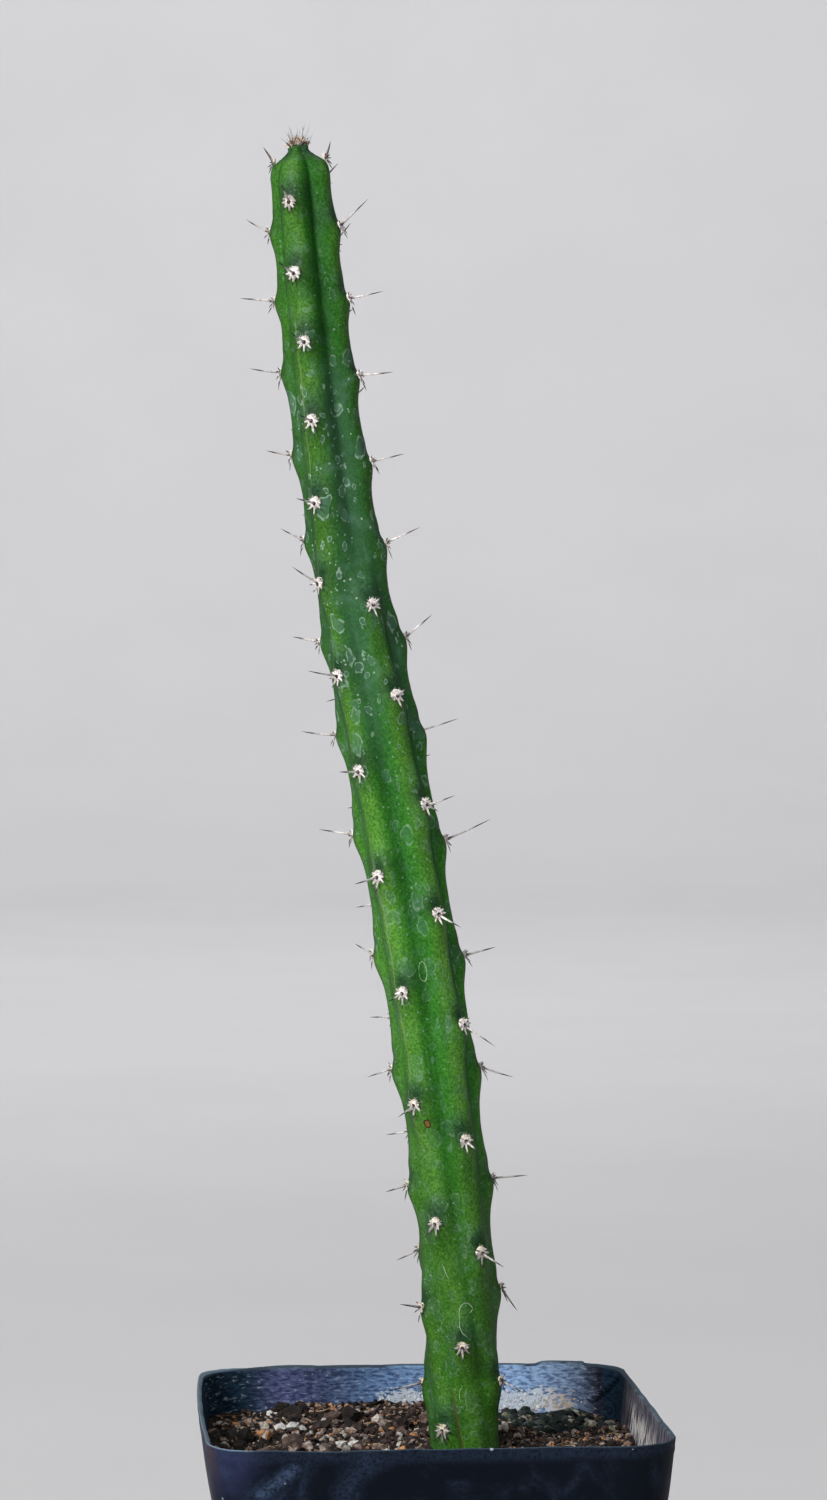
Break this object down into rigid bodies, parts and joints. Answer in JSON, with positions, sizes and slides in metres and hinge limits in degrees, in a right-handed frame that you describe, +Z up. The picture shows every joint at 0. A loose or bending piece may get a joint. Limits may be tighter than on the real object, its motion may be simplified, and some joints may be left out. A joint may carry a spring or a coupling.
{
  "type": "potted queen of the night cactus",
  "caption": "Young ribbed columnar cactus with wool cushions and spines, leaning out of a square black nursery pot of gritty bark mix.",
  "frame": {"origin": "middle of the pot's foot, on the surface that it stands on", "axes": "+Z up, +X along the pot's front side to the viewer's right, +Y away from the viewer"},
  "size_m": [0.1, 0.1, 0.3728],
  "materials": {
    "pot_plastic": "thin black nursery plastic, worn, dusty outside, with pale lime crust inside near the potting mix",
    "potting_mix": "loose dark bark and peat crumbs with pale grit",
    "cactus_skin": "waxy mid-green skin, with cream wool cushions and pale spines with dark tips"
  },
  "bodies": {
    "root": {"pot": "pot_plastic", "potting_mix": "potting_mix", "spiny_stem": "cactus_skin"}
  },
  "joints": []
}
